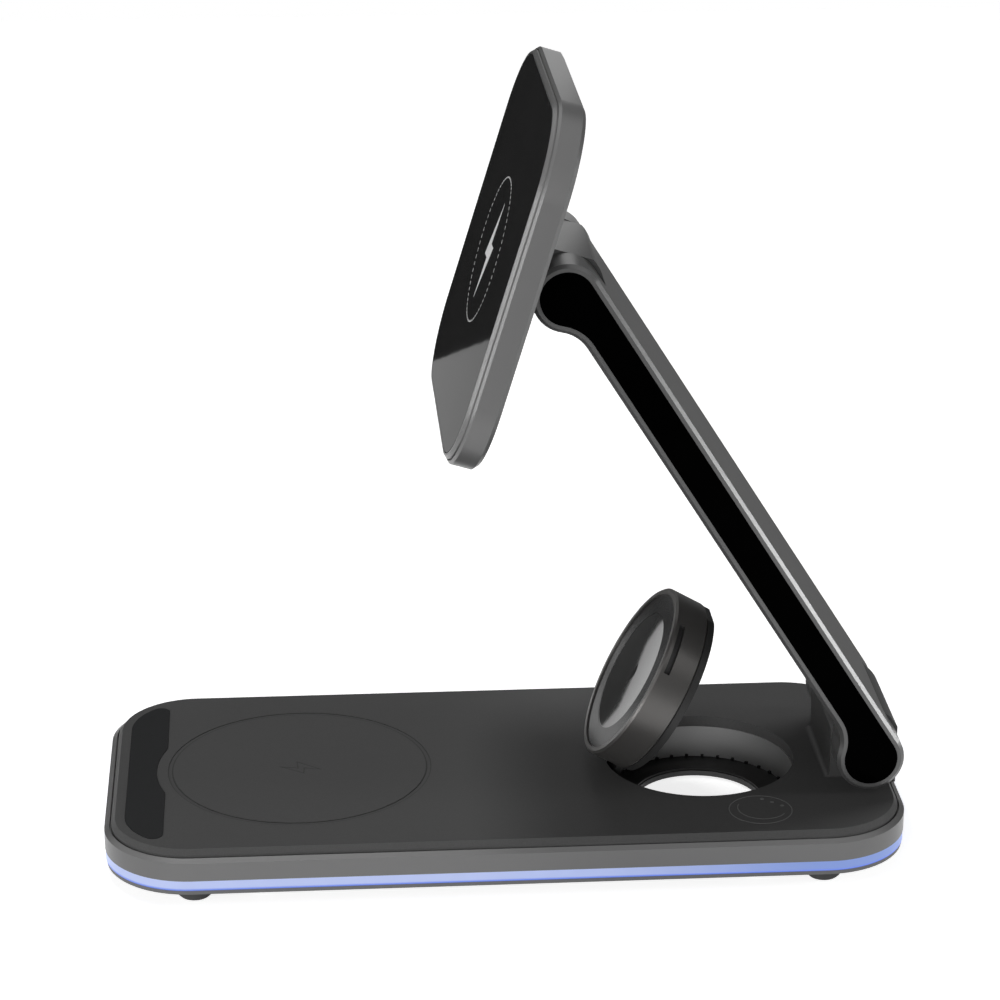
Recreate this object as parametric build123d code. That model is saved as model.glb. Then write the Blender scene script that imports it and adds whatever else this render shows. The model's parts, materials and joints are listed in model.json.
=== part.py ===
"""Three in one wireless charger: earbud pad in the base, hinged watch puck, phone head on an arm."""

import math
import os

from build123d import *

os.makedirs("parts", exist_ok=True)

# Driving sizes, in millimetres and degrees. X runs along the base towards the arm, Z is up.
BASE_LENGTH = 165.0
BASE_WIDTH = 78.6
BASE_CORNER = 18.0
SIDE_WALL = 4.63
LIGHT_BAND = 2.12
COVER_EDGE = 0.95
PLATE_THICKNESS = 2.3
PLATE_RISE = 1.55
PAD_RADIUS = 27.2
PUCK_RADIUS = 19.2
PUCK_THICKNESS = 7.65
PUCK_ANGLE = 60.35
HINGE_RADIUS = 7.0
ARM_REACH = 118.9
ARM_WIDTH = 42.9
ARM_ANGLE = 57.68
BAR_THICKNESS = 9.15
HEAD_WIDTH = 76.5
HEAD_HEIGHT = 75.4
HEAD_CORNER = 16.2
HEAD_DEPTH = 6.4
HEAD_TILT = 17.0

# Clearances
RUN_CLEAR = 0.05
PRESS_CLEAR = 0.02
FIT_CLEAR = 0.05
SIDE_GAP = 0.3
PLATE_GROOVE = 0.35
NOTCH_CLEAR = 0.1
WELL_CLEAR = 0.3
WELL_GAP = 0.6
HEAD_GAP = 1.23
SCREW_CLEAR = 0.1
PIVOT_CLEAR = 0.25
OVERCUT = 1.0

# Base stack, from the table upwards
PAN_GAP = 0.4
COVER_WALL = 1.1
FLANGE = 0.6
HINGE_PLATE = 1.5
PAN_TOP = PAN_GAP + COVER_WALL
FLANGE_TOP = PAN_TOP + FLANGE
TOP_Z = FLANGE_TOP + WELL_CLEAR + HINGE_PLATE + PUCK_THICKNESS
LEDGE_Z = TOP_Z - PLATE_RISE
FRAME_Z = LEDGE_Z - SIDE_WALL
LIGHT_Z = FRAME_Z - LIGHT_BAND
RIM_Z = LIGHT_Z - COVER_EDGE
PLATE_Z = TOP_Z - PLATE_THICKNESS

# Base plan
COVER_INSET = 0.3
GUIDE_INSET = 0.1
LEDGE_WIDTH = 1.1
LEDGE_SLOPE = LEDGE_WIDTH - 0.1
LEDGE_DROP = 0.7
PLATE_INSET = LEDGE_WIDTH + PLATE_GROOVE
PLATE_BEVEL = 0.8
PLATE_BEVEL_DROP = PLATE_RISE - 0.5
FRAME_INSET = 9.2
GUIDE_WIDTH = 3.0
STRIP_INSET = GUIDE_WIDTH + 0.1
STRIP_WIDTH = 0.8
PAN_LENGTH = BASE_LENGTH - 25.0
PAN_WIDTH = BASE_WIDTH - 25.0
PAN_CORNER = 9.0
PAD_X = 40.27 - BASE_LENGTH / 2
PAD_LINE = 0.9
PAD_DEPTH = 0.12
GRIP_EDGE = 12.3 - BASE_LENGTH / 2
GRIP_INSET = PLATE_INSET + PLATE_BEVEL + 2.0
GRIP_CORNER = 2.0
GRIP_NOTCH = PAD_RADIUS + 2.8
GRIP_RISE = 0.1
GRIP_DEPTH = 0.4
FOOT_RADIUS = 3.5
FOOT_BEVEL = 0.5
FOOT_X = BASE_LENGTH / 2 - 18.5
FOOT_Y = BASE_WIDTH / 2 - 5.2
SCREW_X = BASE_LENGTH / 2 - 32.5
SCREW_Y = BASE_WIDTH / 2 - 6.6
SCREW_SHANK = 0.9
SCREW_HEAD = 1.9
SCREW_HEAD_HEIGHT = 1.0
DRIVE_WIDTH = 0.5
DRIVE_DEPTH = 0.4
SCREW_LENGTH = 4.6
BOSS_RADIUS = 2.4
COIL_THICKNESS = 1.5
FERRITE_THICKNESS = 0.8
FERRITE_EDGE = 1.0
PAD_COIL_INNER = PAD_RADIUS - 17.2
PAD_COIL_OUTER = PAD_RADIUS - 7.2

# Well and watch puck
WELL_X = BASE_LENGTH / 2 - 40.0
WELL_RADIUS = PUCK_RADIUS + WELL_GAP
WELL_WALL = 1.4
WELL_OUTER = WELL_RADIUS + WELL_WALL
WELL_FLOOR_HOLE = PUCK_RADIUS - 5.8
FLANGE_HOLE = WELL_FLOOR_HOLE + 0.2
PLATE_HOLE = WELL_RADIUS + 0.25
PUCK_SETBACK = 5.7
PUCK_REACH = PUCK_RADIUS + PUCK_SETBACK
PUCK_FACE = 2.85
PUCK_BACK = PUCK_FACE - PUCK_THICKNESS
PIVOT_X = WELL_X - PUCK_REACH
PIVOT_Z = TOP_Z - PUCK_FACE
BARREL = 1.8
PUCK_PIN = 1.0
NECK_HALF = 3.8
NECK_START = 0.4
NECK_END = PUCK_SETBACK + 3.3
WINDOW_HALF = NECK_HALF + 0.8
EAR_GAP_HALF = NECK_HALF + 0.5
EAR_OUTER_HALF = EAR_GAP_HALF + 3.9
EAR_BACK = PIVOT_X - 5.1
EAR_FRONT = PIVOT_X + 2.4
EAR_TOP = PIVOT_Z + BARREL + 0.1
EAR_TIE_LENGTH = 3.0
EAR_TIE_HEIGHT = 1.5
RELIEF_HALF = EAR_OUTER_HALF + 0.2
PUCK_BEVEL = 0.4
PUCK_FLAT = PUCK_SETBACK + 0.4
POCKET_RADIUS = PUCK_RADIUS - 1.35
POCKET_DEPTH = 1.6
POCKET_Z = PUCK_FACE - POCKET_DEPTH
DECK_Z = POCKET_Z - 1.0
CAVITY_RADIUS = PUCK_RADIUS - 2.4
FACE_RING_OUTER = POCKET_RADIUS - FIT_CLEAR
FACE_RING_INNER = PUCK_RADIUS - 5.85
FACE_RING_TOP = PUCK_FACE - 0.3
DISC_RADIUS = FACE_RING_INNER - FIT_CLEAR
DISC_TOP = PUCK_FACE - 0.35
DISH_RADIUS = DISC_RADIUS - 0.15
DISH_DEPTH = 0.5
SLOT_DEPTH = 1.1
SLOT_HEIGHT = 1.3
SLOT_Z = PUCK_FACE - 2.45
SLOT_START = -64.4
SLOT_END = -28.8
HINGE_PLATE_RADIUS = PUCK_RADIUS - 0.2
HINGE_PLATE_FLAT = PUCK_REACH + PUCK_RADIUS - 0.6
PUCK_COIL_Z = DECK_Z - COIL_THICKNESS
PUCK_COIL_INNER = 6.4
PUCK_COIL_OUTER = CAVITY_RADIUS - 2.3
PUCK_MAGNET = PUCK_COIL_INNER - 0.6
PUCK_FERRITE = PUCK_COIL_OUTER + 0.5
PUCK_BOARD = CAVITY_RADIUS - 1.3
PUCK_BOARD_THICKNESS = 0.8

# Main board and ballast on the pan floor
BOARD_POST = 0.8
POST_RADIUS = 1.8
POST_INSET = 3.0
BOARD_RIGHT = EAR_BACK - 1.0
BOARD_LENGTH = 24.0
BOARD_LEFT = BOARD_RIGHT - BOARD_LENGTH
BOARD_HALF = PAN_WIDTH / 2 - 3.5
BOARD_THICKNESS = 1.0
# Chips as shares of the board: along x, along y, and height over the board's thickness
BOARD_CHIPS = [
    (0.12, 0.46, -0.67, -0.33, 1.0),
    (0.54, 0.83, -0.12, 0.17, 2.2),
    (0.17, 0.38, 0.25, 0.67, 1.4),
]
BALLAST_GAP = 1.0
BALLAST_LEFT = COVER_WALL + BALLAST_GAP - PAN_LENGTH / 2
BALLAST_RIGHT = BOARD_LEFT - 1.5
BALLAST_THICKNESS = 1.2

# Touch key
KEY_OFFSET = 9.34
KEY_X = WELL_X + KEY_OFFSET
KEY_NEAR = math.sqrt(WELL_OUTER ** 2 - KEY_OFFSET ** 2)
KEY_SPAN = BASE_WIDTH / 2 - FRAME_INSET - KEY_NEAR
KEY_Y = -(KEY_NEAR + 0.738 * KEY_SPAN)
KEY_RADIUS = 0.22 * KEY_SPAN
KEY_THICKNESS = 0.8

# Arm hinge
HINGE_X = BASE_LENGTH / 2 - HINGE_RADIUS - 0.05
HINGE_Z = TOP_Z + HINGE_RADIUS + 0.85
EAR_WIDTH = 8.45
KNUCKLE_HALF = ARM_WIDTH / 2 - EAR_WIDTH - SIDE_GAP
KNUCKLE_RADIUS = HINGE_RADIUS + 0.7
PIN_RADIUS = 2.0
PIN_HALF = ARM_WIDTH / 2 - 1.05
BUSH_RADIUS = 3.5
STAND_SCREW_Y = KNUCKLE_HALF - 4.7
STAND_SCREW_LENGTH = 8.0
STAND_FLARE = 1.2
DECK_BACK = HINGE_X - HINGE_RADIUS - 2.5
DECK_END = BASE_LENGTH / 2 - FRAME_INSET + OVERCUT
DECK_HALF = KNUCKLE_HALF + 3.3

# Head, measured along its own normal from the upper hinge
HEAD_BACK = HINGE_RADIUS + HEAD_GAP
HEAD_FACE = HEAD_BACK + HEAD_DEPTH
HEAD_WALL = 1.6
HEAD_FLOOR = HEAD_BACK + 1.2
HEAD_BACK_BEVEL = 0.85
HEAD_FRONT_BEVEL = 0.5
BEZEL_BEVEL = 0.6
GLASS_BEVEL = 0.15
BRACKET_RADIUS = HINGE_RADIUS + 0.9
BRACKET_HALF = HINGE_RADIUS - 0.17
SHELL_LIP = 0.64
BEZEL_INSET = 0.84
GLASS_INSET = 1.84
SHELF_INSET = 3.4
SHELL_FRONT = HEAD_FACE - 0.9
SHOULDER = HEAD_FACE - 2.3
GLASS_LOW = HEAD_FACE - 1.0
COIL_LOW = GLASS_LOW - 1.2
FERRITE_LOW = COIL_LOW - FERRITE_THICKNESS
PHONE_COIL_INNER = 9.0
PHONE_COIL_OUTER = 22.5
PHONE_FERRITE = PHONE_COIL_OUTER + 0.5
MAGNET_INNER = PHONE_FERRITE + 0.5
MAGNET_OUTER = MAGNET_INNER + 4.0
HEAD_BOARD_HALF = HEAD_WIDTH / 2 - 12.0
HEAD_BOARD_LOW = BRACKET_HALF + 2.2
HEAD_BOARD_TOP = HEAD_HEIGHT / 2 - 9.0
HEAD_BOARD_THICKNESS = 0.8
HEAD_CHIP = 7.0
HEAD_CHIP_HEIGHT = 0.7
BRACKET_SCREW_X = KNUCKLE_HALF - 3.7
BRACKET_SCREW_Y = BRACKET_HALF - 2.6
BRACKET_SCREW_DEPTH = 3.4

# Arm profile
INLAY_INSET = 1.48
INLAY_DEPTH = 0.8
ARM_BEVEL = 0.7
BAR_BLEND = 7.5
LOWER_SLOT = KNUCKLE_RADIUS + SIDE_GAP
UPPER_SLOT = BRACKET_RADIUS + 0.4
CABLE_HALF = 5.0
CABLE_LOW = 1.5
CABLE_THICKNESS = 0.5
CHANNEL_HALF = CABLE_HALF + 0.5
CHANNEL_TOP = CABLE_LOW + 1.6
CABLE_GAP = 1.0
INLAY_SINK = 0.05

# Power inlet at the rear of the base
SOCKET_WIDTH = 8.94
SOCKET_HEIGHT = 3.26
SOCKET_LENGTH = 7.35
SOCKET_WALL = 0.3
SOCKET_RECESS = 1.0
PORT_BOARD = 0.9
PORT_BOARD_HALF = 8.0
PORT_Z = LIGHT_Z + PORT_BOARD + SOCKET_HEIGHT / 2
PORT_TRIM_WIDTH = 12.4
PORT_TRIM_HEIGHT = 4.7
PORT_TRIM_CORNER = 1.9
PORT_TRIM_SINK = 0.1
SOCKET_CORNER = 1.4
SOCKET_END_WALL = 0.8
TONGUE_WIDTH = 6.7
TONGUE_HEIGHT = 0.7
TONGUE_CORNER = 0.2
TONGUE_SINK = 1.2

ARM_COS = math.cos(math.radians(ARM_ANGLE))
ARM_SIN = math.sin(math.radians(ARM_ANGLE))
TILT_COS = math.cos(math.radians(HEAD_TILT))
TILT_SIN = math.sin(math.radians(HEAD_TILT))
PUCK_COS = math.cos(math.radians(PUCK_ANGLE))
PUCK_SIN = math.sin(math.radians(PUCK_ANGLE))
UPPER_X = HINGE_X - ARM_REACH * ARM_COS
UPPER_Z = HINGE_Z + ARM_REACH * ARM_SIN

# Arm frame: x along the arm from the lower hinge, y towards the arm's back, z along +Y
ARM_FRAME = Plane(origin=(HINGE_X, 0, HINGE_Z), x_dir=(-ARM_COS, 0, ARM_SIN), z_dir=(0, 1, 0)).location
# Head frame: x along -Y, y up the head, z out of the glass
HEAD_FRAME = Plane(origin=(UPPER_X, 0, UPPER_Z), x_dir=(0, -1, 0), z_dir=(-TILT_COS, 0, TILT_SIN)).location
# Puck frame: x from the pivot across the puck, z out of its face
PUCK_FRAME = Plane(
    origin=(PIVOT_X, 0, PIVOT_Z), x_dir=(PUCK_COS, 0, PUCK_SIN), z_dir=(-PUCK_SIN, 0, PUCK_COS)
).location


def slab(plan, low, high):
    return Pos(0, 0, low) * extrude(plan, high - low)


def disc(radius, low, high, x=0.0, y=0.0):
    return Pos(x, y, low) * extrude(Circle(radius), high - low)


def annulus(inner, outer, low, high, x=0.0, y=0.0):
    return Pos(x, y, low) * extrude(Circle(outer) - Circle(inner), high - low)


def block(x0, x1, y0, y1, z0, z1):
    return Pos((x0 + x1) / 2, (y0 + y1) / 2, (z0 + z1) / 2) * Box(x1 - x0, y1 - y0, z1 - z0)


def cross_rod(radius, half, x, z):
    return Pos(x, 0, z) * Rot(90, 0, 0) * Cylinder(radius, 2 * half)


def base_plan(inset):
    return RectangleRounded(BASE_LENGTH - 2 * inset, BASE_WIDTH - 2 * inset, BASE_CORNER - inset)


def slope_top(body, across, drop):
    """Bevels the edge of a slab's top face, by one size across the face and another down the side."""
    top = body.faces().sort_by(Axis.Z)[-1]
    return chamfer(top.edges(), across, drop, reference=top)


def rear_block(width, height, radius, start, end):
    """Rounded block through the rear wall, from one inset behind the rear face to a deeper one."""
    body = extrude(Plane.XZ * RectangleRounded(width, height, radius), end - start)
    return Pos(0, BASE_WIDTH / 2 - start, PORT_Z) * body


def corners(x, y):
    return [(sx * x, sy * y) for sx in (-1, 1) for sy in (-1, 1)]


def screw(x, y, seat, length, up=1):
    """Pan-head screw whose head sits against the seat and whose shank runs up or down from it."""
    shank = disc(SCREW_SHANK, min(seat, seat + up * length), max(seat, seat + up * length), x, y)
    tip = seat - up * SCREW_HEAD_HEIGHT
    head = disc(SCREW_HEAD, min(seat, tip), max(seat, tip), x, y)
    drive = DRIVE_WIDTH / 2
    slot = block(x - SCREW_HEAD, x + SCREW_HEAD, y - drive, y + drive, tip - DRIVE_DEPTH, tip + DRIVE_DEPTH)
    return shank + head - slot


# Base


def pan_plan(inset):
    return RectangleRounded(PAN_LENGTH - 2 * inset, PAN_WIDTH - 2 * inset, PAN_CORNER - inset)


def make_bottom_cover():
    cover = slab(base_plan(COVER_INSET), RIM_Z, LIGHT_Z) + slab(pan_plan(0), PAN_GAP, LIGHT_Z)
    cover -= slab(pan_plan(COVER_WALL), PAN_TOP, LIGHT_Z + OVERCUT)
    cover -= disc(WELL_FLOOR_HOLE, PAN_GAP - OVERCUT, PAN_TOP + OVERCUT, WELL_X)
    for x, y in corners(SCREW_X, SCREW_Y):
        cover -= disc(SCREW_SHANK + SCREW_CLEAR, RIM_Z - OVERCUT, LIGHT_Z + OVERCUT, x, y)
    for x, y in board_posts():
        cover += disc(POST_RADIUS, PAN_TOP, PAN_TOP + BOARD_POST, x, y)
    return cover


def board_posts():
    middle = (BOARD_LEFT + BOARD_RIGHT) / 2
    return [(middle + x, y) for x, y in corners(BOARD_LENGTH / 2 - POST_INSET, BOARD_HALF - POST_INSET)]


def make_main_board():
    low = PAN_TOP + BOARD_POST
    top = low + BOARD_THICKNESS
    board = block(BOARD_LEFT, BOARD_RIGHT, -BOARD_HALF, BOARD_HALF, low, top)
    for x0, x1, y0, y1, height in BOARD_CHIPS:
        left = BOARD_LEFT + x0 * BOARD_LENGTH
        right = BOARD_LEFT + x1 * BOARD_LENGTH
        board += block(left, right, y0 * BOARD_HALF, y1 * BOARD_HALF, top, top + height * BOARD_THICKNESS)
    return board


def make_ballast():
    corner = PAN_CORNER - COVER_WALL - BALLAST_GAP
    plan = RectangleRounded(BALLAST_RIGHT - BALLAST_LEFT, 2 * BOARD_HALF, corner)
    place = Pos((BALLAST_LEFT + BALLAST_RIGHT) / 2, 0, PAN_TOP)
    return place * extrude(plan, BALLAST_THICKNESS)


def port_opening(depth):
    return rear_block(PORT_TRIM_WIDTH, PORT_TRIM_HEIGHT, PORT_TRIM_CORNER, -OVERCUT, depth)


def make_middle_frame():
    frame = slab(base_plan(0), FRAME_Z, LEDGE_Z)
    frame = slope_top(frame, LEDGE_SLOPE, LEDGE_DROP)
    frame -= slab(base_plan(FRAME_INSET), FRAME_Z - OVERCUT, LEDGE_Z + OVERCUT)
    frame -= slab(base_plan(LEDGE_WIDTH), PLATE_Z, LEDGE_Z + OVERCUT)
    frame += block(DECK_BACK, DECK_END, -DECK_HALF, DECK_HALF, FRAME_Z, PLATE_Z)
    for x, y in corners(SCREW_X, SCREW_Y):
        frame += disc(BOSS_RADIUS, LIGHT_Z, FRAME_Z, x, y)
    for x, y in corners(SCREW_X, SCREW_Y):
        frame -= disc(SCREW_SHANK + FIT_CLEAR, LIGHT_Z - OVERCUT, RIM_Z + SCREW_LENGTH + SCREW_CLEAR, x, y)
    for y in (-STAND_SCREW_Y, STAND_SCREW_Y):
        frame -= disc(SCREW_SHANK + SCREW_CLEAR, FRAME_Z - OVERCUT, PLATE_Z + OVERCUT, HINGE_X, y)
    frame -= port_opening(GUIDE_WIDTH)
    width = SOCKET_WIDTH + 2 * FIT_CLEAR
    height = SOCKET_HEIGHT + 2 * FIT_CLEAR
    return frame - rear_block(width, height, SOCKET_CORNER + FIT_CLEAR, 0, FRAME_INSET + OVERCUT)


def make_light_guide():
    guide = slab(base_plan(GUIDE_INSET) - base_plan(GUIDE_WIDTH), LIGHT_Z, FRAME_Z)
    return guide - port_opening(GUIDE_WIDTH + OVERCUT)


def make_led_strip():
    plan = base_plan(STRIP_INSET) - base_plan(STRIP_INSET + STRIP_WIDTH)
    half = PORT_BOARD_HALF + SIDE_GAP
    gap = block(-half, half, 0, BASE_WIDTH, LIGHT_Z - OVERCUT, FRAME_Z + OVERCUT)
    return slab(plan, LIGHT_Z, FRAME_Z) - gap


def grip_plan(inset):
    """Strip along the pad end, with a notch round the charging ring and rounded inner corners."""
    depth = GRIP_EDGE + BASE_LENGTH / 2 - inset
    keep = Pos(depth / 2 - BASE_LENGTH / 2, 0) * Rectangle(depth, BASE_WIDTH)
    plan = (base_plan(GRIP_INSET + inset) & keep) - Pos(PAD_X, 0) * Circle(GRIP_NOTCH + inset)
    return fillet(plan.vertices().group_by(Axis.X)[-1], GRIP_CORNER)


def make_grip_pad():
    return slab(grip_plan(FIT_CLEAR), TOP_Z - GRIP_DEPTH, TOP_Z + GRIP_RISE)


def make_top_plate():
    plate = slab(base_plan(PLATE_INSET), PLATE_Z, TOP_Z)
    plate = slope_top(plate, PLATE_BEVEL, PLATE_BEVEL_DROP)
    plate -= disc(PLATE_HOLE, PLATE_Z - OVERCUT, TOP_Z + OVERCUT, WELL_X)
    line = PAD_LINE / 2
    plate -= annulus(PAD_RADIUS - line, PAD_RADIUS + line, TOP_Z - PAD_DEPTH, TOP_Z + OVERCUT, PAD_X)
    plate -= slab(grip_plan(0), TOP_Z - GRIP_DEPTH, TOP_Z + OVERCUT)
    notch = KNUCKLE_HALF + NOTCH_CLEAR
    notch_x = HINGE_X - HINGE_RADIUS - NOTCH_CLEAR
    plate -= block(notch_x, BASE_LENGTH / 2, -notch, notch, PLATE_Z - OVERCUT, TOP_Z + OVERCUT)
    relief_end = WELL_X - PUCK_RADIUS
    relief_top = PIVOT_Z + BARREL + PIVOT_CLEAR
    relief_x = EAR_BACK - PIVOT_CLEAR
    return plate - block(relief_x, relief_end, -RELIEF_HALF, RELIEF_HALF, PLATE_Z - OVERCUT, relief_top)


def make_well_ring():
    ring = annulus(WELL_RADIUS, WELL_OUTER, PAN_TOP, PLATE_Z, WELL_X)
    ring += annulus(FLANGE_HOLE, WELL_OUTER, PAN_TOP, FLANGE_TOP, WELL_X)
    left = WELL_X - WELL_OUTER - OVERCUT
    right = WELL_X - FLANGE_HOLE
    return ring - block(left, right, -WINDOW_HALF, WINDOW_HALF, FLANGE_TOP, PLATE_Z + OVERCUT)


def make_foot(x, y):
    foot = disc(FOOT_RADIUS, 0, RIM_Z, x, y)
    return chamfer(foot.edges().group_by(Axis.Z)[0], FOOT_BEVEL)


def make_cover_screws():
    return Compound([screw(x, y, RIM_Z, SCREW_LENGTH) for x, y in corners(SCREW_X, SCREW_Y)])


def make_port_trim():
    trim = rear_block(PORT_TRIM_WIDTH, PORT_TRIM_HEIGHT, PORT_TRIM_CORNER, PORT_TRIM_SINK, GUIDE_WIDTH)
    return trim - rear_block(SOCKET_WIDTH, SOCKET_HEIGHT, SOCKET_CORNER, -OVERCUT, GUIDE_WIDTH + OVERCUT)


def make_usb_socket():
    end = SOCKET_RECESS + SOCKET_LENGTH
    floor = end - SOCKET_END_WALL
    shell = rear_block(SOCKET_WIDTH, SOCKET_HEIGHT, SOCKET_CORNER, SOCKET_RECESS, end)
    width = SOCKET_WIDTH - 2 * SOCKET_WALL
    height = SOCKET_HEIGHT - 2 * SOCKET_WALL
    shell -= rear_block(width, height, SOCKET_CORNER - SOCKET_WALL, SOCKET_RECESS - OVERCUT, floor)
    root = end - SOCKET_END_WALL / 2
    return shell + rear_block(TONGUE_WIDTH, TONGUE_HEIGHT, TONGUE_CORNER, SOCKET_RECESS + TONGUE_SINK, root)


def make_port_board():
    rear = BASE_WIDTH / 2 - STRIP_INSET
    front = PAN_WIDTH / 2 + OVERCUT
    return block(-PORT_BOARD_HALF, PORT_BOARD_HALF, front, rear, LIGHT_Z, LIGHT_Z + PORT_BOARD)


def make_earbud_coil():
    return annulus(PAD_COIL_INNER, PAD_COIL_OUTER, PLATE_Z - COIL_THICKNESS, PLATE_Z, PAD_X)


def make_earbud_ferrite():
    top = PLATE_Z - COIL_THICKNESS
    return disc(PAD_COIL_OUTER + FERRITE_EDGE, top - FERRITE_THICKNESS, top, PAD_X)


def make_touch_sensor():
    return disc(KEY_RADIUS, PLATE_Z - KEY_THICKNESS, PLATE_Z, KEY_X, KEY_Y)


def make_hinge_stand():
    front = HINGE_X - HINGE_RADIUS
    back = HINGE_X + HINGE_RADIUS
    step = BASE_LENGTH / 2 - LEDGE_WIDTH - NOTCH_CLEAR
    seat = [(front, PLATE_Z), (step, PLATE_Z), (step, LEDGE_Z), (back, LEDGE_Z)]
    foot = Polygon(*seat, (back, HINGE_Z), (front, HINGE_Z), align=None)
    tip = front - STAND_FLARE
    crest = TOP_Z + STAND_FLARE
    flare = Polygon((tip, TOP_Z), (front, TOP_Z), (front, crest), align=None)
    flare -= Pos(tip, crest) * Circle(STAND_FLARE)
    strip = Rectangle(2 * HINGE_RADIUS, 2 * KNUCKLE_RADIUS)
    knuckle = Pos(HINGE_X, HINGE_Z) * (Circle(KNUCKLE_RADIUS) & strip)
    plan = foot + flare + knuckle - Pos(HINGE_X, HINGE_Z) * Circle(BUSH_RADIUS + PRESS_CLEAR)
    stand = extrude(Plane.XZ * plan, KNUCKLE_HALF, both=True)
    hole_end = FRAME_Z + STAND_SCREW_LENGTH + SCREW_CLEAR
    for y in (-STAND_SCREW_Y, STAND_SCREW_Y):
        stand -= disc(SCREW_SHANK + FIT_CLEAR, PLATE_Z - OVERCUT, hole_end, HINGE_X, y)
    return stand


def make_stand_screws():
    places = (-STAND_SCREW_Y, STAND_SCREW_Y)
    return Compound([screw(HINGE_X, y, FRAME_Z, STAND_SCREW_LENGTH) for y in places])


def make_base_bush():
    bush = Circle(BUSH_RADIUS) - Circle(PIN_RADIUS + RUN_CLEAR)
    return Pos(HINGE_X, 0, HINGE_Z) * extrude(Plane.XZ * bush, KNUCKLE_HALF, both=True)


def make_puck_bracket():
    tie_end = EAR_BACK + EAR_TIE_LENGTH
    bracket = block(EAR_BACK, tie_end, -EAR_OUTER_HALF, EAR_OUTER_HALF, PAN_TOP, PAN_TOP + EAR_TIE_HEIGHT)
    bracket += block(EAR_BACK, EAR_FRONT, -EAR_OUTER_HALF, -EAR_GAP_HALF, PAN_TOP, EAR_TOP)
    bracket += block(EAR_BACK, EAR_FRONT, EAR_GAP_HALF, EAR_OUTER_HALF, PAN_TOP, EAR_TOP)
    return bracket - cross_rod(PUCK_PIN + PRESS_CLEAR, EAR_OUTER_HALF + OVERCUT, PIVOT_X, PIVOT_Z)


def make_puck_pin():
    return cross_rod(PUCK_PIN, EAR_OUTER_HALF - PIVOT_CLEAR, PIVOT_X, PIVOT_Z)


# Watch puck, in its own frame


def make_puck_shell():
    shell = disc(PUCK_RADIUS, PUCK_BACK, PUCK_FACE, PUCK_REACH)
    shell = chamfer(shell.edges().group_by(Axis.Z)[-1], PUCK_BEVEL)
    shell = chamfer(shell.edges().group_by(Axis.Z)[0], PUCK_BEVEL)
    low = PUCK_BACK - OVERCUT
    high = PUCK_FACE + OVERCUT
    shell -= block(0, PUCK_FLAT, -PUCK_RADIUS, PUCK_RADIUS, low, high)
    shell -= disc(POCKET_RADIUS, POCKET_Z, high, PUCK_REACH)
    shell -= disc(CAVITY_RADIUS, low, DECK_Z, PUCK_REACH)
    return shell - puck_slot()


def puck_slot():
    """Shallow recess in the puck's edge, on the near side."""
    far = 3 * PUCK_RADIUS
    angles = (math.radians(SLOT_START), math.radians(SLOT_END))
    ends = [(far * math.cos(a), far * math.sin(a)) for a in angles]
    edge = Circle(PUCK_RADIUS + OVERCUT) - Circle(PUCK_RADIUS - SLOT_DEPTH)
    return Pos(PUCK_REACH, 0, SLOT_Z) * extrude(edge & Polygon((0, 0), *ends, align=None), SLOT_HEIGHT)


def make_puck_face_ring():
    return annulus(FACE_RING_INNER, FACE_RING_OUTER, POCKET_Z, FACE_RING_TOP, PUCK_REACH)


def make_charging_disc():
    bowl = (DISH_RADIUS ** 2 + DISH_DEPTH ** 2) / (2 * DISH_DEPTH)
    body = disc(DISC_RADIUS, POCKET_Z, DISC_TOP, PUCK_REACH)
    return body - Pos(PUCK_REACH, 0, DISC_TOP + bowl - DISH_DEPTH) * Sphere(bowl)


def make_puck_hinge_plate():
    """Back plate whose neck drops below the puck's edge and rises to the hinge barrel."""
    low = PUCK_BACK - HINGE_PLATE
    plate = disc(HINGE_PLATE_RADIUS, low, PUCK_BACK, PUCK_REACH)
    flat_end = HINGE_PLATE_FLAT + PUCK_RADIUS
    top = PUCK_BACK + OVERCUT
    plate -= block(HINGE_PLATE_FLAT, flat_end, -PUCK_RADIUS, PUCK_RADIUS, low - OVERCUT, top)
    run = [(NECK_START, 0), (NECK_START, low), (NECK_END, low), (NECK_END, PUCK_BACK)]
    profile = Polygon(*run, (BARREL, PUCK_BACK), (BARREL, 0), align=None) + Circle(BARREL)
    profile -= Circle(PUCK_PIN + RUN_CLEAR)
    return plate + extrude(Plane.XZ * profile, NECK_HALF, both=True)


def make_puck_coil():
    return annulus(PUCK_COIL_INNER, PUCK_COIL_OUTER, PUCK_COIL_Z, DECK_Z, PUCK_REACH)


def make_puck_magnet():
    return disc(PUCK_MAGNET, PUCK_COIL_Z, DECK_Z, PUCK_REACH)


def make_puck_ferrite():
    return disc(PUCK_FERRITE, PUCK_COIL_Z - FERRITE_THICKNESS, PUCK_COIL_Z, PUCK_REACH)


def make_puck_board():
    return disc(PUCK_BOARD, PUCK_BACK, PUCK_BACK + PUCK_BOARD_THICKNESS, PUCK_REACH)


# Arm, in its own frame


def arm_end(knuckle, front, blend, x, side):
    """Knuckle and the web that blends it into the bar's front; side is the way to the bar along x."""
    blend_y = front - blend
    blend_x = math.sqrt((knuckle + blend) ** 2 - blend_y ** 2)
    points = [(x, 0), (x + side * blend_x, blend_y), (x + side * blend_x, front)]
    web = Polygon(*points[::side], align=None) - Pos(x + side * blend_x, blend_y) * Circle(blend)
    return Pos(x, 0) * Circle(knuckle) + web


def arm_plan(inset):
    """Side outline of the arm, drawn inside its edge by the inset."""
    knuckle = HINGE_RADIUS - inset
    front = HINGE_RADIUS - BAR_THICKNESS + inset
    blend = BAR_BLEND + inset
    bar = Pos(ARM_REACH / 2, (knuckle + front) / 2) * Rectangle(ARM_REACH, knuckle - front)
    return bar + arm_end(knuckle, front, blend, 0, 1) + arm_end(knuckle, front, blend, ARM_REACH, -1)


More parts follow.
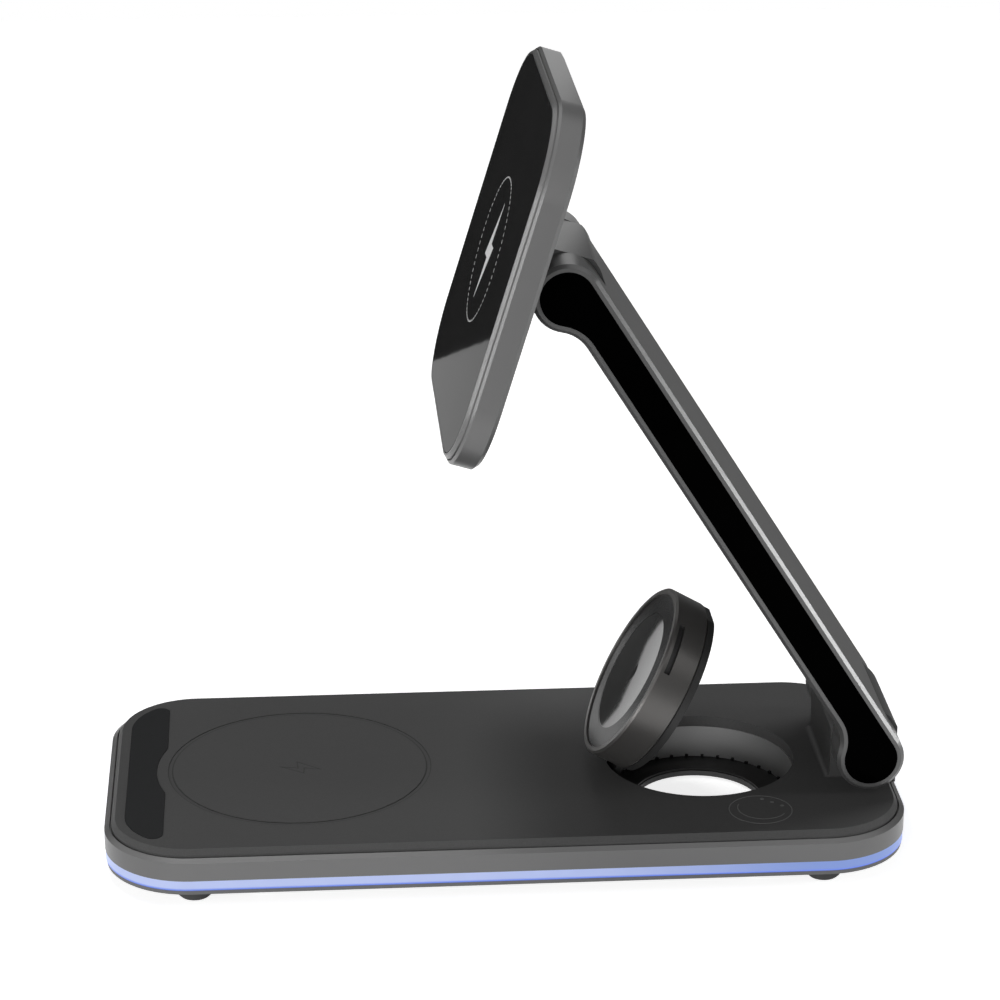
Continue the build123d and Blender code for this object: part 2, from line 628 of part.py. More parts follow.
def make_arm_frame():
    half = ARM_WIDTH / 2
    arm = extrude(arm_plan(0), half, both=True)
    ends = arm.edges().group_by(Axis.Z)
    arm = chamfer(ends[0] + ends[-1], ARM_BEVEL)
    arm -= slab(arm_plan(INLAY_INSET), half - INLAY_DEPTH, half + OVERCUT)
    arm -= slab(arm_plan(INLAY_INSET), -half - OVERCUT, INLAY_DEPTH - half)
    slot = KNUCKLE_HALF + SIDE_GAP
    arm -= disc(LOWER_SLOT, -slot, slot)
    arm -= disc(UPPER_SLOT, -slot, slot, ARM_REACH)
    for s in (0, ARM_REACH):
        arm -= disc(PIN_RADIUS + PRESS_CLEAR, -half, half, s)
    return arm - block(0, ARM_REACH, CABLE_LOW, CHANNEL_TOP, -CHANNEL_HALF, CHANNEL_HALF)


def make_inlay(side):
    half = ARM_WIDTH / 2
    low = half - INLAY_DEPTH
    plate = slab(arm_plan(INLAY_INSET + FIT_CLEAR), low, half - INLAY_SINK)
    return plate if side > 0 else mirror(plate, Plane.XY)


def make_arm_pin(s):
    return disc(PIN_RADIUS, -PIN_HALF, PIN_HALF, s)


def make_arm_cable():
    start = LOWER_SLOT + CABLE_GAP
    end = ARM_REACH - UPPER_SLOT - CABLE_GAP
    return block(start, end, CABLE_LOW, CABLE_LOW + CABLE_THICKNESS, -CABLE_HALF, CABLE_HALF)


# Head, in its own frame


def head_plan(inset):
    return RectangleRounded(HEAD_WIDTH - 2 * inset, HEAD_HEIGHT - 2 * inset, HEAD_CORNER - inset)


def make_rear_shell():
    shell = slab(head_plan(0), HEAD_BACK, SHELL_FRONT)
    shell = chamfer(shell.edges().group_by(Axis.Z)[0], HEAD_BACK_BEVEL)
    shell = chamfer(shell.edges().group_by(Axis.Z)[-1], HEAD_FRONT_BEVEL)
    shell -= slab(head_plan(HEAD_WALL), HEAD_FLOOR, HEAD_FACE)
    shell -= slab(head_plan(SHELL_LIP), SHOULDER, HEAD_FACE)
    for x, y in bracket_holes():
        shell -= disc(SCREW_SHANK + SCREW_CLEAR, HEAD_BACK - OVERCUT, HEAD_FLOOR + OVERCUT, x, y)
    return shell


def make_bezel():
    bezel = slab(head_plan(BEZEL_INSET), SHOULDER, HEAD_FACE)
    bezel = chamfer(bezel.edges().group_by(Axis.Z)[-1], BEZEL_BEVEL)
    bezel -= slab(head_plan(GLASS_INSET), GLASS_LOW, HEAD_FACE + OVERCUT)
    return bezel - slab(head_plan(SHELF_INSET), SHOULDER - OVERCUT, HEAD_FACE)


def make_glass():
    glass = slab(head_plan(GLASS_INSET + FIT_CLEAR), GLASS_LOW, HEAD_FACE)
    return chamfer(glass.edges().group_by(Axis.Z)[-1], GLASS_BEVEL)


def make_phone_coil():
    return annulus(PHONE_COIL_INNER, PHONE_COIL_OUTER, COIL_LOW, GLASS_LOW)


def make_phone_ferrite():
    return disc(PHONE_FERRITE, FERRITE_LOW, COIL_LOW)


def make_magnet_ring():
    return annulus(MAGNET_INNER, MAGNET_OUTER, COIL_LOW, GLASS_LOW)


def make_head_board():
    top = HEAD_FLOOR + HEAD_BOARD_THICKNESS
    board = block(-HEAD_BOARD_HALF, HEAD_BOARD_HALF, HEAD_BOARD_LOW, HEAD_BOARD_TOP, HEAD_FLOOR, top)
    chip_low = (HEAD_BOARD_LOW + HEAD_BOARD_TOP - HEAD_CHIP) / 2
    return board + block(-HEAD_CHIP, 0, chip_low, chip_low + HEAD_CHIP, top, top + HEAD_CHIP_HEIGHT)


def bracket_holes():
    return corners(BRACKET_SCREW_X, BRACKET_SCREW_Y)


def make_bracket():
    flats = Pos(0, HEAD_BACK / 2) * Rectangle(2 * BRACKET_HALF, HEAD_BACK)
    strip = Rectangle(2 * BRACKET_HALF, 4 * BRACKET_RADIUS)
    plan = (Circle(BRACKET_RADIUS) & strip) + flats
    plan -= Circle(BUSH_RADIUS + PRESS_CLEAR)
    bracket = extrude(Plane.YZ * plan, KNUCKLE_HALF, both=True)
    hole_end = HEAD_BACK - BRACKET_SCREW_DEPTH - SCREW_CLEAR
    for x, y in bracket_holes():
        bracket -= disc(SCREW_SHANK + FIT_CLEAR, hole_end, HEAD_BACK + OVERCUT, x, y)
    return bracket


def make_bracket_screws():
    length = HEAD_FLOOR - HEAD_BACK + BRACKET_SCREW_DEPTH
    return Compound([screw(x, y, HEAD_FLOOR, length, up=-1) for x, y in bracket_holes()])


def make_head_bush():
    bush = Circle(BUSH_RADIUS) - Circle(PIN_RADIUS + RUN_CLEAR)
    return extrude(Plane.YZ * bush, KNUCKLE_HALF, both=True)


def all_nodes():
    nodes = {
        "bottom_cover": make_bottom_cover(),
        "light_guide": make_light_guide(),
        "led_strip": make_led_strip(),
        "middle_frame": make_middle_frame(),
        "top_plate": make_top_plate(),
        "grip_pad": make_grip_pad(),
        "well_ring": make_well_ring(),
        "main_board": make_main_board(),
        "ballast_plate": make_ballast(),
        "earbud_coil": make_earbud_coil(),
        "earbud_ferrite": make_earbud_ferrite(),
        "touch_sensor": make_touch_sensor(),
        "usb_socket": make_usb_socket(),
        "port_trim": make_port_trim(),
        "port_board": make_port_board(),
        "cover_screws": make_cover_screws(),
        "hinge_stand": make_hinge_stand(),
        "stand_screws": make_stand_screws(),
        "base_hinge_bush": make_base_bush(),
        "puck_hinge_bracket": make_puck_bracket(),
        "puck_hinge_pin": make_puck_pin(),
    }
    feet = zip(("left_front", "left_rear", "right_front", "right_rear"), corners(FOOT_X, FOOT_Y))
    for name, place in feet:
        nodes["foot_" + name] = make_foot(*place)
    puck = {
        "puck_shell": make_puck_shell(),
        "puck_face_ring": make_puck_face_ring(),
        "charging_disc": make_charging_disc(),
        "puck_hinge_plate": make_puck_hinge_plate(),
        "puck_coil": make_puck_coil(),
        "puck_magnet": make_puck_magnet(),
        "puck_ferrite": make_puck_ferrite(),
        "puck_board": make_puck_board(),
    }
    arm = {
        "arm_frame": make_arm_frame(),
        "arm_inlay_near": make_inlay(-1),
        "arm_inlay_far": make_inlay(1),
        "base_hinge_pin": make_arm_pin(0),
        "head_hinge_pin": make_arm_pin(ARM_REACH),
        "arm_cable": make_arm_cable(),
    }
    head = {
        "head_bracket": make_bracket(),
        "head_hinge_bush": make_head_bush(),
        "bracket_screws": make_bracket_screws(),
        "rear_shell": make_rear_shell(),
        "bezel_ring": make_bezel(),
        "front_glass": make_glass(),
        "phone_coil": make_phone_coil(),
        "phone_ferrite": make_phone_ferrite(),
        "magnet_ring": make_magnet_ring(),
        "head_board": make_head_board(),
    }
    for frame, group in ((PUCK_FRAME, puck), (ARM_FRAME, arm), (HEAD_FRAME, head)):
        for name, shape in group.items():
            nodes[name] = frame * shape
    return nodes


for node_name, node_shape in all_nodes().items():
    export_step(node_shape, f"parts/{node_name}.step")
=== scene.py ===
"""Looks of the three in one wireless charger: finishes, printed marks, light and camera."""

import json
import math

import bmesh
import bpy
from mathutils import Matrix, Vector


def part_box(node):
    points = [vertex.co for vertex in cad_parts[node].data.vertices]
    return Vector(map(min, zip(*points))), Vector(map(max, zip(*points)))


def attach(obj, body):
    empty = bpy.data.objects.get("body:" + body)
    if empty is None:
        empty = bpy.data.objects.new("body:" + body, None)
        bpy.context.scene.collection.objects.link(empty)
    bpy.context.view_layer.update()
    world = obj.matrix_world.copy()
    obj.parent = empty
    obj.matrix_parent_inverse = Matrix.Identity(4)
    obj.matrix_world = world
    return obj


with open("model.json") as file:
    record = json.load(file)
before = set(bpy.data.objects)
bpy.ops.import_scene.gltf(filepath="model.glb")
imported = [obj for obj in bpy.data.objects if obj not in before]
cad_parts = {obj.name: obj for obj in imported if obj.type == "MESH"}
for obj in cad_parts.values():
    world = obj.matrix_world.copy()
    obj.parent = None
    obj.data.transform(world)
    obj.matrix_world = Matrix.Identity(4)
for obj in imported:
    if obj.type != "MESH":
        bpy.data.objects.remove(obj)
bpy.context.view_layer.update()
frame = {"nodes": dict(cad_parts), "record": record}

MM = 0.001

# Camera
CAMERA_PLACE = (-0.043955, -0.630865, 0.3072)
CAMERA_YAW = math.radians(3.997)
CAMERA_PITCH = math.radians(20.515)
CAMERA_LENS = 118.2045
CAMERA_SENSOR = 36.0
CAMERA_NEAR = 0.01

# Places read from the frame
PLATE_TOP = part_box("top_plate")[1].z
COIL_LOW, COIL_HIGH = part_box("earbud_coil")
KEY_LOW, KEY_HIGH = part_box("touch_sensor")
RING_LOW, RING_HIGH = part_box("well_ring")
GUIDE_LOW, GUIDE_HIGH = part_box("light_guide")
PAD_CENTRE = (COIL_LOW + COIL_HIGH) / 2
KEY_CENTRE = (KEY_LOW + KEY_HIGH) / 2
WELL_CENTRE = (RING_LOW + RING_HIGH) / 2
WELL_FOOT = RING_LOW.z + 0.6 * MM
PUCK_LOW, PUCK_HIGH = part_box("puck_shell")
PUCK_RADIUS = (PUCK_HIGH.y - PUCK_LOW.y) / 2


def flat_front(node):
    """Middle and direction of a node's largest flat face that looks towards -X."""
    mesh = frame["nodes"][node].data
    front = max((p for p in mesh.polygons if p.normal.x < 0), key=lambda p: p.area)
    low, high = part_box(node)
    middle = (low + high) / 2
    return middle + front.normal * (front.center - middle).dot(front.normal), front.normal.copy()


PUCK_MIDDLE, PUCK_AXIS = flat_front("puck_face_ring")

# Printed marks, in millimetres
PRINT = 0.03
LINE = 0.24
MITRE_LIMIT = 0.35
# Radii of the two corners of the pad's shallow ring, where the top coat gets painted shade
PAD_SHADE_RING = (26.75, 27.65)
PAD_BOLT = [(-4.1, 0.2), (0.8, -3.2), (0.9, -0.6), (4.3, -1.5), (-0.6, 2.4), (-0.4, -0.7)]
KEY_RING = 6.45
KEY_ARC = 5.05
KEY_ARC_PLACE = (0.45, 0.7)
KEY_ARC_ENDS = (155, 325)
KEY_DOTS = [(1.03, 4.97), (2.85, 3.29), (4.68, 1.57)]
KEY_DOT = 0.42
HEAD_RING = 14.86
HEAD_DASHES = 64
WHOLE_RING = -2.0
HEAD_DASH = (0.32, 0.8, PRINT)
HEAD_BOLT = [(1.5, 10.5), (-4.2, -1.8), (-0.5, -1.6), (-1.5, -10.5), (4.2, 1.8), (0.5, 1.6)]
HEAD_BOLT_SHIFT = 1.0

# Notches round the foot of the well, clear of the puck's hinge
NOTCHES = 36
NOTCH_SHARE = -0.75
NOTCH_RING = 19.52
NOTCH = (0.48, 0.6, 0.55)

# Studio, in metres
FLOOR_REACH = 0.8
FLOOR_LEVEL = -0.1 * MM
LAMP_AIM = Vector((0, 0, 0.06))

# Lamps: place, size, power in watts
LAMPS = {
    "front": ((-0.25, -1.05, 0.2), 0.6, 6.6),
    "top": ((-0.16, 0.19, 0.9), 0.22, 3.0),
    "left": ((-0.93, -0.22, 0.16), 0.22, 1.4),
    "right": ((1.03, -0.1, 0.19), 0.2, 3.0),
}

# Dark panels for reflections: places along the floor, lower edge, upper edge, tone
FLAGS = {
    "tall_flag": ([(-0.8, 0.6), (-0.252, 0.8), (0.012, 0.13)], 0.0, 0.45, 0.002),
    "low_flag": ([(-0.17, 0.283), (-0.052, 0.19)], 0.0, 0.024, 0.002),
    "hung_flag": ([(-0.06, 0.19), (0.04, 0.19)], 0.011, 0.03, 0.002),
    "right_flag": ([(0.03, 0.06), (0.6, 0.06)], 0.0, 0.3, 0.2),
    "front_flag": ([(-0.06, -0.28), (0.5, -0.28)], 0.0, 0.2, 0.1),
    "side_flag": ([(1.2, -1.2), (1.2, 0.5)], 0.0, 0.8, 0.15),
}

# Mix node sockets for colours
FACTOR, FIRST, SECOND, MIXED = 0, 6, 7, 2


class Socket:
    """An output of a node tree; arithmetic on it adds Math nodes."""

    def __init__(self, graph, socket):
        self.graph = graph
        self.socket = socket

    def __add__(self, other):
        return self.graph.maths("ADD", self, other)

    def __radd__(self, other):
        return self.graph.maths("ADD", other, self)

    def __sub__(self, other):
        return self.graph.maths("SUBTRACT", self, other)

    def __rsub__(self, other):
        return self.graph.maths("SUBTRACT", other, self)

    def __mul__(self, other):
        return self.graph.maths("MULTIPLY", self, other)

    def __rmul__(self, other):
        return self.graph.maths("MULTIPLY", other, self)

    def __gt__(self, other):
        return self.graph.maths("GREATER_THAN", self, other)

    def __lt__(self, other):
        return self.graph.maths("LESS_THAN", self, other)


class Graph:
    """A node tree with one way to add a node: its type, its settings, then its inputs."""

    def __init__(self, tree):
        self.tree = tree

    def node(self, kind, settings=None, inputs=None, output=0):
        node = self.tree.nodes.new(kind)
        for name, value in (settings or {}).items():
            setattr(node, name, value)
        for name, value in (inputs or {}).items():
            if isinstance(value, Socket):
                self.tree.links.new(value.socket, node.inputs[name])
            else:
                node.inputs[name].default_value = value
        return Socket(self, node.outputs[output]) if len(node.outputs) else node

    def maths(self, operation, *values):
        return self.node("ShaderNodeMath", {"operation": operation}, dict(enumerate(values)))

    def vectors(self, operation, first, second, output=0):
        settings = {"operation": operation}
        return self.node("ShaderNodeVectorMath", settings, {0: first, 1: second}, output)


class Finish(Graph):
    """A material's nodes."""

    def __init__(self, name):
        self.material = bpy.data.materials.new(name)
        self.material.use_nodes = True
        super().__init__(self.material.node_tree)
        self.tree.nodes.clear()

    def place(self, centre=(0, 0, 0)):
        """Object coordinates in metres, measured from a centre."""
        coordinates = self.node("ShaderNodeTexCoord", output="Object")
        return self.vectors("SUBTRACT", coordinates, tuple(centre))

    def axes(self, centre=(0, 0, 0)):
        place = self.place(centre)
        return [self.node("ShaderNodeSeparateXYZ", inputs={0: place}, output=i) for i in range(3)]

    def polar(self, centre):
        """Radius, angle and height round an upright axis through a centre."""
        x, y, z = self.axes(centre)
        radius = self.maths("SQRT", x * x + y * y)
        angle = self.maths("ARCTAN2", y, x)
        return radius, angle, z

    def about_axis(self, centre, axis):
        """Distance from a slanted axis through a centre, and height along that axis."""
        place = self.place(centre)
        across = self.vectors("SUBTRACT", place, self.vectors("PROJECT", place, tuple(axis)))
        radius = self.node("ShaderNodeVectorMath", {"operation": "LENGTH"}, {0: across}, "Value")
        height = self.vectors("DOT_PRODUCT", place, tuple(axis), "Value")
        return radius, height

    def noise(self, grain, detail=2.0, where=None):
        """Noise whose features are about the given size in millimetres."""
        inputs = {"Vector": where or self.place(), "Scale": 1 / (grain * MM), "Detail": detail}
        return self.node("ShaderNodeTexNoise", inputs=inputs)

    def step(self, value, low, high):
        """0 below low, 1 above high, smooth between."""
        settings = {"interpolation_type": "SMOOTHSTEP"}
        inputs = {"Value": value, "From Min": low, "From Max": high}
        return self.node("ShaderNodeMapRange", settings, inputs)

    def mix(self, factor, first, second):
        inputs = {FACTOR: factor, FIRST: colour(first), SECOND: colour(second)}
        settings = {"data_type": "RGBA"}
        return self.node("ShaderNodeMix", settings, inputs, MIXED)

    def bump(self, height, depth):
        """Normal from a height of 0 to 1 that is the given depth in millimetres."""
        inputs = {"Height": height, "Distance": depth * MM, "Strength": 1.0}
        return self.node("ShaderNodeBump", inputs=inputs)

    def shader(self, **inputs):
        names = {name.replace("_", " "): value for name, value in inputs.items()}
        return self.node("ShaderNodeBsdfPrincipled", inputs=names)

    def finish(self, shader):
        self.node("ShaderNodeOutputMaterial", inputs={"Surface": shader})
        return self.material


def colour(value):
    return value if isinstance(value, Socket) else (*value, 1.0)


def grey(level, warmth=0.0):
    return (level * (1 + warmth), level, level * (1 - warmth))


# Finishes


def blasted_alloy(name, dark, light, metal, rough):
    """Anodised metal with a fine blasted grain and slow changes of tone."""
    f = Finish(name)
    grain = f.noise(0.22, 3.0)
    tone = f.noise(30.0, 1.0)
    base = f.mix(0.75 * tone + 0.25 * grain, dark, light)
    shader = f.shader(
        Base_Color=base,
        Metallic=metal,
        Roughness=rough - 0.06 + 0.12 * grain,
        Specular_IOR_Level=0.35,
        Normal=f.bump(grain, 0.012),
    )
    return f.finish(shader)


def puck_alloy(name, dark, light):
    """Satin metal of the puck's shell, with painted shade making the inside of the recessed slot in
    its edge darker.
    """
    f = Finish(name)
    grain = f.noise(0.2, 3.0)
    radius, height = f.about_axis(PUCK_MIDDLE, PUCK_AXIS)
    # Painted shade: inside the slot in the shell's edge the colour is dark and not metallic,
    # standing in for its shadow.
    recess_shade = (radius < PUCK_RADIUS - 0.3 * MM) * (height < -0.5 * MM)
    base = f.mix(0.7 * f.noise(20.0, 1.0) + 0.3 * grain, dark, light)
    shader = f.shader(
        Base_Color=f.mix(recess_shade, base, grey(0.03)),
        Metallic=0.6 - 0.6 * recess_shade,
        Roughness=0.28 + 0.1 * grain,
        Specular_IOR_Level=0.3,
        Normal=f.bump(grain, 0.008),
    )
    return f.finish(shader)


def plate_coat(name, dark, light):
    """Soft coat of the top plate, with shade in both corners of the pad's shallow ring."""
    f = Finish(name)
    speck = f.noise(0.3, 2.0)
    radius = f.polar(PAD_CENTRE)[0]
    base = f.mix(0.3 * f.noise(45.0, 1.0) + 0.7 * speck, dark, light)
    inner, outer = [f.maths("ABSOLUTE", radius - corner * MM) for corner in PAD_SHADE_RING]
    shade = 1 - f.step(f.maths("MINIMUM", inner, outer + 0.05 * MM), 0.06 * MM, 0.22 * MM)
    shader = f.shader(
        Base_Color=f.mix(0.55 * shade, base, grey(0.02)),
        Roughness=0.5 + 0.1 * speck,
        Specular_IOR_Level=0.1,
        Normal=f.bump(speck, 0.008),
    )
    return f.finish(shader)


def soft_coat(name, dark, light, rough, level):
    """Soft matt coat with a very fine speckle."""
    f = Finish(name)
    speck = f.noise(0.3, 2.0)
    tone = f.noise(45.0, 1.0)
    shader = f.shader(
        Base_Color=f.mix(0.7 * tone + 0.3 * speck, dark, light),
        Roughness=rough - 0.05 + 0.1 * speck,
        Specular_IOR_Level=level,
        Normal=f.bump(speck, 0.008),
    )
    return f.finish(shader)


def pebbled_rubber(name, dark, light, pebble):
    f = Finish(name)
    cells = f.node("ShaderNodeTexVoronoi", inputs={"Vector": f.place(), "Scale": 1 / (pebble * MM)})
    dust = f.noise(4.0, 3.0)
    shader = f.shader(
        Base_Color=f.mix(dust, dark, light),
        Roughness=0.62 + 0.15 * dust,
        Specular_IOR_Level=0.08,
        Normal=f.bump(1 - cells, 0.02),
    )
    return f.finish(shader)


def gloss_black(name, dark, light, rough, level):
    """Polished black with faint polishing marks in its gloss."""
    f = Finish(name)
    marks = f.noise(9.0, 4.0)
    shader = f.shader(
        Base_Color=f.mix(marks, dark, light),
        Roughness=rough + 0.6 * rough * marks,
        Specular_IOR_Level=level,
        Normal=f.bump(f.noise(14.0, 1.0), 0.004),
    )
    return f.finish(shader)


def turned_well(name, dark, light):
    """Turned metal wall, its fine lines running round the well, with a black floor at its foot."""
    f = Finish(name)
    radius, angle, height = f.polar((WELL_CENTRE.x, WELL_CENTRE.y, WELL_FOOT))
    where = f.node("ShaderNodeCombineXYZ", inputs={0: angle * 0.4 * MM, 1: height, 2: radius})
    lines = f.noise(0.12, 2.0, where)
    wall = height > 0.02 * MM
    metal = f.mix(0.6 * lines + 0.4 * f.noise(8.0, 2.0), dark, light)
    shader = f.shader(
        Base_Color=f.mix(wall, grey(0.006), metal),
        Metallic=0.6 * wall,
        Roughness=0.42 + 0.14 * lines,
        Specular_IOR_Level=0.2,
        Normal=f.bump(lines, 0.01),
    )
    return f.finish(shader)


def lit_guide(name):
    """Milky band lit from behind, deeper blue along its lower edge, and with painted shade making
    it deeper blue towards the arm's end.
    """
    f = Finish(name)
    along, _, height = f.axes()
    low_edge = 1 - f.step(height, GUIDE_LOW.z, GUIDE_LOW.z + 0.6 * MM)
    # Painted shade: the band's colour turns deeper blue towards the arm's end, where less light
    # falls on it.
    arm_end_shade = f.step(along, 0.2 * GUIDE_HIGH.x, 0.8 * GUIDE_HIGH.x)
    deep_blue_and_shade = f.maths("MAXIMUM", low_edge, 0.75 * arm_end_shade)
    cloud = f.noise(7.0, 2.0)
    glow = f.mix(low_edge, (0.1, 0.17, 0.45), (0.05, 0.12, 0.66))
    milk = f.mix(cloud, grey(0.4), grey(0.45))
    shader = f.shader(
        Base_Color=f.mix(deep_blue_and_shade, milk, (0.04, 0.07, 0.16)),
        Roughness=0.25 + 0.1 * cloud,
        Emission_Color=f.mix(0.25 * cloud, glow, (0.1, 0.2, 0.6)),
        Emission_Strength=1.0,
        Normal=f.bump(f.noise(0.4, 2.0), 0.006),
    )
    return f.finish(shader)


def wound_coil(name, centre):
    """Copper wire wound flat: fine rings round an upright axis."""
    f = Finish(name)
    radius = f.polar(centre)[0]
    turns = f.maths("SINE", radius * (math.tau / (0.7 * MM)))
    shader = f.shader(
        Base_Color=f.mix(0.5 + 0.5 * turns, (0.35, 0.13, 0.05), (0.75, 0.36, 0.18)),
        Metallic=0.9,
        Roughness=0.3 + 0.1 * f.noise(3.0),
        Normal=f.bump(0.5 + 0.5 * turns, 0.1),
    )
    return f.finish(shader)


def machined_metal(name, dark, light, rough):
    f = Finish(name)
    lines = f.noise(0.5, 3.0)
    shader = f.shader(
        Base_Color=f.mix(lines, dark, light),
        Metallic=1.0,
        Roughness=rough - 0.05 + 0.1 * lines,
        Normal=f.bump(lines, 0.01),
    )
    return f.finish(shader)


def circuit_board(name):
    """Green solder mask with copper tracks beneath it."""
    f = Finish(name)
    settings = {"feature": "DISTANCE_TO_EDGE"}
    cells = f.node("ShaderNodeTexVoronoi", settings, {"Vector": f.place(), "Scale": 1 / (3.0 * MM)})
    tracks = 1 - f.step(cells, 0.02, 0.05)
    shader = f.shader(
        Base_Color=f.mix(tracks, (0.01, 0.09, 0.045), (0.05, 0.2, 0.08)),
        Roughness=0.4 + 0.1 * f.noise(2.0),
        Normal=f.bump(tracks, 0.03),
    )
    return f.finish(shader)


def printed_ink(name, level):
    f = Finish(name)
    speck = f.noise(0.15, 2.0)
    shader = f.shader(
        Base_Color=f.mix(speck, grey(0.85 * level), grey(1.1 * level)),
        Roughness=0.5 + 0.2 * speck,
        Specular_IOR_Level=0.2,
        Normal=f.bump(speck, 0.004),
    )
    return f.finish(shader)


FINISHES = {
    "frame_alloy": blasted_alloy("frame_alloy", grey(0.14), grey(0.16), 0.45, 0.36),
    "stand_alloy": blasted_alloy("stand_alloy", grey(0.055), grey(0.068), 0.35, 0.4),
    "puck_alloy": puck_alloy("puck_alloy", grey(0.1, 0.03), grey(0.125, 0.03)),
    "well_alloy": turned_well("well_alloy", grey(0.22), grey(0.28)),
    "top_coat": plate_coat("top_coat", grey(0.066), grey(0.096)),
    "cover_plastic": soft_coat("cover_plastic", grey(0.14), grey(0.16), 0.5, 0.3),
    "light_plastic": lit_guide("light_plastic"),
    "grip_rubber": pebbled_rubber("grip_rubber", grey(0.02, -0.03), grey(0.026, -0.03), 0.35),
    "foot_rubber": pebbled_rubber("foot_rubber", grey(0.07), grey(0.09), 0.5),
    "black_gloss": gloss_black("black_gloss", grey(0.0004), grey(0.0008), 0.06, 0.002),
    "face_gloss": gloss_black("face_gloss", grey(0.03), grey(0.036), 0.14, 0.08),
    "black_glass": gloss_black("black_glass", grey(0.02), grey(0.026), 0.02, 0.004),
    "steel": machined_metal("steel", grey(0.4), grey(0.55), 0.3),
    "coated_steel": soft_coat("coated_steel", grey(0.022), grey(0.03), 0.45, 0.3),
    "screw_steel": machined_metal("screw_steel", grey(0.33), grey(0.48), 0.35),
    "bronze": machined_metal("bronze", (0.4, 0.25, 0.1), (0.56, 0.38, 0.17), 0.38),
    "copper": wound_coil("copper", PAD_CENTRE),
    "ferrite": soft_coat("ferrite", grey(0.035), grey(0.06), 0.7, 0.3),
    "magnet": machined_metal("magnet", grey(0.38), grey(0.5), 0.25),
    "circuit": circuit_board("circuit"),
    "flat_cable": soft_coat("flat_cable", (0.2, 0.09, 0.02), (0.28, 0.14, 0.04), 0.4, 0.4),
}
ARM_ALLOY = blasted_alloy("arm_alloy", grey(0.1), grey(0.12), 0.5, 0.31)
DISH_GLOSS = gloss_black("dish_gloss", grey(0.066), grey(0.078), 0.05, 0.25)
NODE_FINISHES = {"arm_frame": ARM_ALLOY, "head_bracket": ARM_ALLOY, "charging_disc": DISH_GLOSS}
PAD_INK = printed_ink("pad_engraving", 0.045)
KEY_INK = printed_ink("key_ink", 0.17)
HEAD_INK = printed_ink("head_ink", 0.75)
NOTCH_BLACK = printed_ink("notch_black", 0.004)


def dress_frame():
    """Gives each node of the frame its own finish, or else that of its slot."""
    for entry in frame["record"]["subparts"]:
        mesh = frame["nodes"][entry["node"]].data
        finish = NODE_FINISHES.get(entry["node"], FINISHES[entry["material_slot"]])
        if len(mesh.materials):
            mesh.materials[0] = finish
        else:
            mesh.materials.append(finish)


# Printed marks: thin closed strips and plates that lie on a surface


def arc(radius, start, end, steps, centre=(0, 0)):
    """Points along an arc, in degrees, both ends included."""
    angles = [math.radians(start + (end - start) * i / steps) for i in range(steps + 1)]
    return [(centre[0] + radius * math.cos(a), centre[1] + radius * math.sin(a)) for a in angles]


def mitre(before, here, after, half):
    """Offset from a corner of a line to the edge of a stroke of the given half width."""
    first = (here - before).normalized()
    second = (after - here).normalized()
    across = Vector((-first.y - second.y, first.x + second.x)).normalized()
    return across * half / max(across.dot(Vector((-first.y, first.x))), MITRE_LIMIT)


def add_stroke(bm, points, width, closed):
    """A strip of the given width along a line, as a closed shell of the print's thickness."""
    line = [Vector(p) for p in points]
    count = len(line)
    rows = []
    for i, here in enumerate(line):
        before = line[i - 1] if closed or i else here * 2 - line[i + 1]
        after = line[(i + 1) % count] if closed or i < count - 1 else here * 2 - line[i - 1]
        side = mitre(before, here, after, width / 2)
        edges = (here + side, here - side)
        row = [bm.verts.new((*edges[k], z)) for k, z in ((0, 0), (1, 0), (1, PRINT), (0, PRINT))]
        rows.append(row)
    for i in range(count if closed else count - 1):
        one = rows[i]
        two = rows[(i + 1) % count]
        for k in range(4):
            bm.faces.new((one[k], one[(k + 1) % 4], two[(k + 1) % 4], two[k]))
    if not closed:
        bm.faces.new(rows[0])
        bm.faces.new(rows[-1])


def add_plate(bm, points):
    """A filled outline, as a closed plate of the print's thickness."""
    low = [bm.verts.new((*p, 0)) for p in points]
    high = [bm.verts.new((*p, PRINT)) for p in points]
    bm.faces.new(low)
    bm.faces.new(high)
    for i in range(len(points)):
        j = (i + 1) % len(points)
        bm.faces.new((low[i], low[j], high[j], high[i]))


def put_piece(name, mesh, place, finish, body):
    """Links a mesh, drawn in millimetres on a flat, at its place on the object."""
    mesh.transform(place @ Matrix.Diagonal((MM, MM, MM, 1)))
    mesh.materials.clear()
    mesh.materials.append(finish)
    piece = bpy.data.objects.new(name, mesh)
    bpy.context.scene.collection.objects.link(piece)
    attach(piece, body)


def put_marks(name, draw, place, finish, body):
    bm = bmesh.new()
    draw(bm)
    bmesh.ops.recalc_face_normals(bm, faces=bm.faces)
    bmesh.ops.triangulate(bm, faces=[f for f in bm.faces if len(f.verts) > 4])
    mesh = bpy.data.meshes.new(name)
    bm.to_mesh(mesh)
    bm.free()
    put_piece(name, mesh, place, finish, body)


def draw_pad_bolt(bm):
    add_stroke(bm, PAD_BOLT, LINE, closed=True)


def draw_key_marks(bm):
    add_stroke(bm, arc(KEY_RING, 0, 360, 96)[:-1], LINE, closed=True)
    add_stroke(bm, arc(KEY_ARC, *KEY_ARC_ENDS, 48, KEY_ARC_PLACE), LINE, closed=False)
    for dot in KEY_DOTS:
        add_plate(bm, arc(KEY_DOT, 0, 360, 24, dot)[:-1])


def draw_head_bolt(bm):
    add_plate(bm, [(x + HEAD_BOLT_SHIFT, y) for x, y in HEAD_BOLT])


# Rings of small blocks


